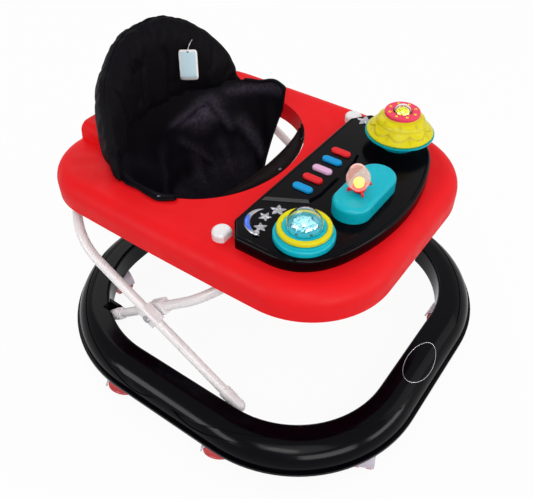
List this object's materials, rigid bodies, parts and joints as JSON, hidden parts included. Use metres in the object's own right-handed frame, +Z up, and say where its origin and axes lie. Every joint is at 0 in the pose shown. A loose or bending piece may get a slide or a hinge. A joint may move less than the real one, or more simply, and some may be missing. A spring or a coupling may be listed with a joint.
{
  "type": "baby walker",
  "caption": "Sit-in baby walker: a moulded ring base on swivel casters, crossed folding tubes, a tray with a sling seat and padded back, and a toy tray with buttons and spinners.",
  "frame": {"origin": "on the floor under the centre of the base", "axes": "-Y to the front, where the toy tray is, +Z up, +X to the seated child's left"},
  "size_m": [0.644, 0.678, 0.52],
  "materials": {
    "rail_black": "gloss black moulding",
    "tray_red": "satin gloss red moulding",
    "tube_white": "white powder coat",
    "fitting_white": "white moulding",
    "pin_steel": "plated steel",
    "wheel_red": "red moulded wheel",
    "hood_grey": "pale lavender grey moulding",
    "seat_fabric": "black woven cover over foam",
    "toy_black": "gloss black moulding",
    "toy_turquoise": "turquoise moulding",
    "toy_yellow": "yellow moulding",
    "toy_pink": "pink moulding",
    "button_red": "red moulding",
    "button_blue": "blue moulding",
    "button_pink": "pale pink moulding",
    "clear": "clear moulded cover",
    "capsule_clear": "clear tinted cover",
    "lamp_yellow": "lamp",
    "bead_white": "white beads",
    "trim_silver": "bright trim",
    "board_green": "circuit board",
    "cell_jacket": "battery jacket",
    "speaker_black": "paper cone"
  },
  "bodies": {
    "base": {"base_ring": "rail_black", "rear_pivot_pins": "pin_steel"},
    "front_frame": {"front_tube": "tube_white", "front_sleeves": "fitting_white", "pivot_plugs": "fitting_white", "cross_rivets": "pin_steel"},
    "rear_frame": {"rear_tube": "tube_white", "rear_sleeves": "fitting_white", "slider_feet": "fitting_white", "guide_pins": "pin_steel"},
    "tray": {"upper_tray": "tray_red", "rear_tube_saddles": "fitting_white", "height_racks": "fitting_white", "seat_back": "seat_fabric", "seat_sling": "seat_fabric", "toy_tray_top": "toy_black", "toy_tray_plate": "toy_black", "battery_door": "toy_black", "battery_cells": "cell_jacket", "circuit_board": "board_green", "speaker": "speaker_black", "star_ornaments": "trim_silver", "moon_lens": "trim_silver", "dome_base": "toy_turquoise", "dome_glass": "clear", "dome_beads": "bead_white", "rocket_block": "toy_turquoise", "spinner_foot": "toy_turquoise"},
    "bead_ring": {"dome_ring": "toy_yellow"},
    "rocket": {"rocket_lever": "button_red", "rocket_capsule": "capsule_clear", "rocket_lamp": "lamp_yellow"},
    "spinner": {"spinner_saucer": "toy_yellow", "spinner_ring": "toy_pink", "spinner_dome": "clear"},
    "latch_l": {"latch_left": "fitting_white"},
    "latch_r": {"latch_right": "fitting_white"},
    "swivel_1": {"caster_hood_1": "hood_grey"},
    "wheels_1": {"caster_wheels_1": "wheel_red"},
    "swivel_2": {"caster_hood_2": "hood_grey"},
    "wheels_2": {"caster_wheels_2": "wheel_red"},
    "swivel_3": {"caster_hood_3": "hood_grey"},
    "wheels_3": {"caster_wheels_3": "wheel_red"},
    "swivel_4": {"caster_hood_4": "hood_grey"},
    "wheels_4": {"caster_wheels_4": "wheel_red"},
    "swivel_5": {"caster_hood_5": "hood_grey"},
    "wheels_5": {"caster_wheels_5": "wheel_red"},
    "swivel_6": {"caster_hood_6": "hood_grey"},
    "wheels_6": {"caster_wheels_6": "wheel_red"},
    "swivel_7": {"caster_hood_7": "hood_grey"},
    "wheels_7": {"caster_wheels_7": "wheel_red"},
    "swivel_8": {"caster_hood_8": "hood_grey"},
    "wheels_8": {"caster_wheels_8": "wheel_red"},
    "key_1": {"button_1": "button_red"},
    "key_2": {"button_2": "button_blue"},
    "key_3": {"button_3": "button_pink"},
    "key_4": {"button_4": "button_red"},
    "key_5": {"button_5": "button_blue"}
  },
  "joints": [
    {"name": "fold", "type": "hinge", "parent": "base", "child": "front_frame", "pos_m": [0, 0.19683, 0.07], "axis": [1, 0, 0], "range_deg": [0, 22.78]},
    {"name": "tube_cross", "type": "hinge", "parent": "front_frame", "child": "rear_frame", "pos_m": [0, 0.069, 0.175], "axis": [1, 0, 0], "range_deg": [-40.5, 0]},
    {"name": "tray_level", "type": "hinge", "parent": "rear_frame", "child": "tray", "pos_m": [0, 0.282, 0.304], "axis": [1, 0, 0], "range_deg": [0, 17.71]},
    {"name": "swivel_1", "type": "hinge", "parent": "base", "child": "swivel_1", "pos_m": [-0.16, -0.2926, 0.07], "axis": [0, 0, 1], "continuous": true},
    {"name": "roll_1", "type": "hinge", "parent": "swivel_1", "child": "wheels_1", "pos_m": [-0.17269, -0.29851, 0.023], "axis": [-0.4226, 0.9063, 0], "continuous": true},
    {"name": "swivel_2", "type": "hinge", "parent": "base", "child": "swivel_2", "pos_m": [0.16, -0.2926, 0.07], "axis": [0, 0, 1], "continuous": true},
    {"name": "roll_2", "type": "hinge", "parent": "swivel_2", "child": "wheels_2", "pos_m": [0.16, -0.2786, 0.023], "axis": [1, 0, 0], "continuous": true},
    {"name": "swivel_3", "type": "hinge", "parent": "base", "child": "swivel_3", "pos_m": [-0.2875, -0.113, 0.07], "axis": [0, 0, 1], "continuous": true},
    {"name": "roll_3", "type": "hinge", "parent": "swivel_3", "child": "wheels_3", "pos_m": [-0.29429, -0.10076, 0.023], "axis": [0.8746, 0.4848, 0], "continuous": true},
    {"name": "swivel_4", "type": "hinge", "parent": "base", "child": "swivel_4", "pos_m": [0.2875, -0.113, 0.07], "axis": [0, 0, 1], "continuous": true},
    {"name": "roll_4", "type": "hinge", "parent": "swivel_4", "child": "wheels_4", "pos_m": [0.29429, -0.10076, 0.023], "axis": [0.8746, -0.4848, 0], "continuous": true},
    {"name": "swivel_5", "type": "hinge", "parent": "base", "child": "swivel_5", "pos_m": [-0.28735, 0.098, 0.07], "axis": [0, 0, 1], "continuous": true},
    {"name": "roll_5", "type": "hinge", "parent": "swivel_5", "child": "wheels_5", "pos_m": [-0.29414, 0.11024, 0.023], "axis": [0.8746, 0.4848, 0], "continuous": true},
    {"name": "swivel_6", "type": "hinge", "parent": "base", "child": "swivel_6", "pos_m": [0.28735, 0.098, 0.07], "axis": [0, 0, 1], "continuous": true},
    {"name": "roll_6", "type": "hinge", "parent": "swivel_6", "child": "wheels_6", "pos_m": [0.29414, 0.11024, 0.023], "axis": [0.8746, -0.4848, 0], "continuous": true},
    {"name": "swivel_7", "type": "hinge", "parent": "base", "child": "swivel_7", "pos_m": [-0.12, 0.29929, 0.07], "axis": [0, 0, 1], "continuous": true},
    {"name": "roll_7", "type": "hinge", "parent": "swivel_7", "child": "wheels_7", "pos_m": [-0.12362, 0.28576, 0.023], "axis": [-0.9659, 0.2588, 0], "continuous": true},
    {"name": "swivel_8", "type": "hinge", "parent": "base", "child": "swivel_8", "pos_m": [0.12, 0.29929, 0.07], "axis": [0, 0, 1], "continuous": true},
    {"name": "roll_8", "type": "hinge", "parent": "swivel_8", "child": "wheels_8", "pos_m": [0.12243, 0.2855, 0.023], "axis": [-0.9848, -0.1736, 0], "continuous": true},
    {"name": "press_1", "type": "slide", "parent": "tray", "child": "key_1", "axis": [0, 0, -1], "range_m": [0, 0.002], "stiffness_N_per_m": 400},
    {"name": "press_2", "type": "slide", "parent": "tray", "child": "key_2", "axis": [0, 0, -1], "range_m": [0, 0.002], "stiffness_N_per_m": 400},
    {"name": "press_3", "type": "slide", "parent": "tray", "child": "key_3", "axis": [0, 0, -1], "range_m": [0, 0.002], "stiffness_N_per_m": 400},
    {"name": "press_4", "type": "slide", "parent": "tray", "child": "key_4", "axis": [0, 0, -1], "range_m": [0, 0.002], "stiffness_N_per_m": 400},
    {"name": "press_5", "type": "slide", "parent": "tray", "child": "key_5", "axis": [0, 0, -1], "range_m": [0, 0.002], "stiffness_N_per_m": 400},
    {"name": "bead_ring_turn", "type": "hinge", "parent": "tray", "child": "bead_ring", "pos_m": [-0.134, -0.143, 0.394], "axis": [0, 0, 1], "continuous": true},
    {"name": "rocket_rock", "type": "hinge", "parent": "tray", "child": "rocket", "pos_m": [-0.029, -0.169, 0.391], "axis": [0, 1, 0], "range_deg": [0, 38]},
    {"name": "spinner_turn", "type": "hinge", "parent": "tray", "child": "spinner", "pos_m": [0.14, -0.143, 0.404], "axis": [0, 0, 1], "continuous": true},
    {"name": "latch_l_slide", "type": "slide", "parent": "tray", "child": "latch_l", "axis": [1, 0, 0], "range_m": [0, 0.006], "stiffness_N_per_m": 400},
    {"name": "latch_r_slide", "type": "slide", "parent": "tray", "child": "latch_r", "axis": [-1, 0, 0], "range_m": [0, 0.006], "stiffness_N_per_m": 400}
  ],
  "couplings": [
    {"joint": "tube_cross", "follows": "fold", "ratio": -1.777},
    {"joint": "tray_level", "follows": "fold", "ratio": 0.77703}
  ]
}
